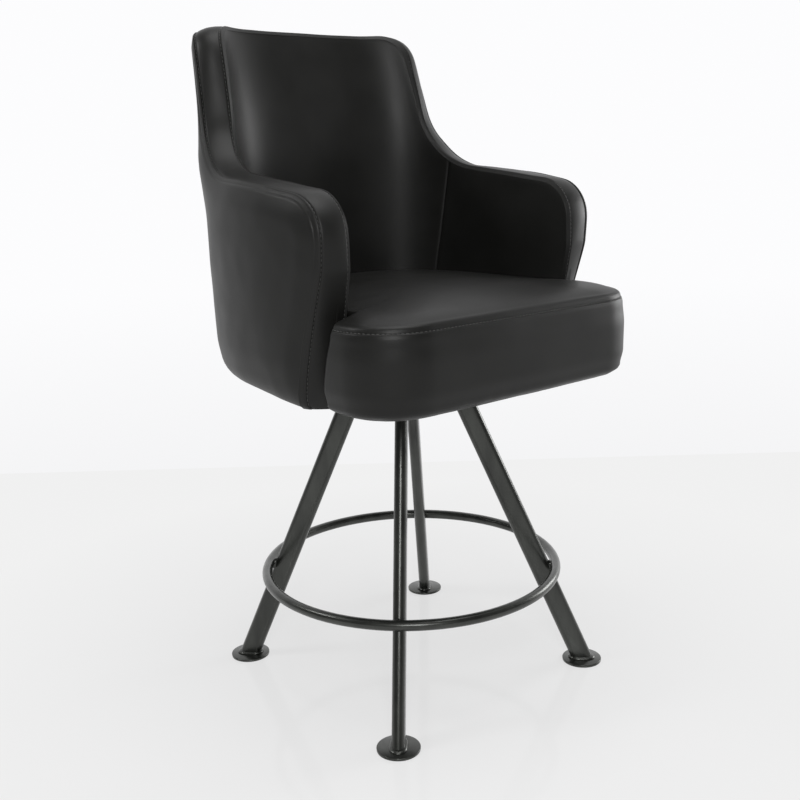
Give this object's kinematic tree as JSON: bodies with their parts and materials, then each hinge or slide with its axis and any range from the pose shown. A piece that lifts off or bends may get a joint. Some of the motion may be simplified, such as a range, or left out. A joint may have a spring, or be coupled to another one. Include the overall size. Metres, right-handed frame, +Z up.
{
  "type": "gaming stool",
  "caption": "Counter-height swivel stool: T-shaped seat cushion, padded wrap-around back and arms, splayed oval-tube legs on round foot discs, and a round footrest ring.",
  "frame": {"origin": "on the floor at the centre of the base, below the swivel axis", "axes": "+Z is up along the swivel axis; the sitter faces -Y; the sitter's right hand is on the -X side"},
  "size_m": [0.538, 0.5455, 1.019],
  "materials": {
    "painted_steel": "dark gunmetal with a clear gloss coat",
    "zinc_steel": "zinc plated",
    "vinyl": "black satin vinyl with a fine grain",
    "plywood": "bare plywood",
    "foam": "open-cell foam",
    "dust_cloth": "black non-woven cloth"
  },
  "bodies": {
    "base": {"leg_front_right": "painted_steel", "leg_front_left": "painted_steel", "leg_rear_left": "painted_steel", "leg_rear_right": "painted_steel", "foot_disc_front_right": "painted_steel", "foot_disc_front_left": "painted_steel", "foot_disc_rear_left": "painted_steel", "foot_disc_rear_right": "painted_steel", "foot_weld_front_right": "painted_steel", "foot_weld_front_left": "painted_steel", "foot_weld_rear_left": "painted_steel", "foot_weld_rear_right": "painted_steel", "ring_weld_front_right": "painted_steel", "ring_weld_front_left": "painted_steel", "ring_weld_rear_left": "painted_steel", "ring_weld_rear_right": "painted_steel", "footrest_ring": "painted_steel", "base_plate": "painted_steel", "swivel_lower_plate": "zinc_steel", "base_bolt_front": "zinc_steel", "base_bolt_left": "zinc_steel", "base_bolt_rear": "zinc_steel", "base_bolt_right": "zinc_steel", "base_nut_front": "zinc_steel", "base_nut_left": "zinc_steel", "base_nut_rear": "zinc_steel", "base_nut_right": "zinc_steel", "swivel_rivet": "zinc_steel"},
    "swivel_balls": {"ball_cage": "zinc_steel"},
    "seat": {"swivel_upper_plate": "zinc_steel", "seat_bolt_front_right": "zinc_steel", "seat_bolt_front_left": "zinc_steel", "seat_bolt_rear_left": "zinc_steel", "seat_bolt_rear_right": "zinc_steel", "t_nut_front_right": "zinc_steel", "t_nut_front_left": "zinc_steel", "t_nut_rear_left": "zinc_steel", "t_nut_rear_right": "zinc_steel", "seat_board": "plywood", "seat_foam": "foam", "seat_cover": "vinyl", "dust_cover": "dust_cloth", "tub_frame": "plywood", "inside_back_panel": "vinyl", "arm_panel_right": "vinyl", "arm_panel_left": "vinyl", "edge_band": "vinyl", "outer_cover": "vinyl", "bracket_arm_right": "painted_steel", "bracket_arm_left": "painted_steel", "bracket_back_right": "painted_steel", "bracket_back_left": "painted_steel", "board_screw_arm_right": "zinc_steel", "board_screw_arm_left": "zinc_steel", "board_screw_back_right": "zinc_steel", "board_screw_back_left": "zinc_steel", "frame_screw_arm_right": "zinc_steel", "frame_screw_arm_left": "zinc_steel", "frame_screw_back_right": "zinc_steel", "frame_screw_back_left": "zinc_steel"}
  },
  "joints": [
    {"name": "seat_swivel", "type": "hinge", "parent": "base", "child": "seat", "pos_m": [0, 0, 0.4837], "axis": [0, 0, 1], "continuous": true},
    {"name": "cage_turn", "type": "hinge", "parent": "base", "child": "swivel_balls", "pos_m": [0, 0, 0.4837], "axis": [0, 0, 1], "continuous": true}
  ],
  "couplings": [
    {"joint": "cage_turn", "follows": "seat_swivel", "ratio": 0.5}
  ]
}
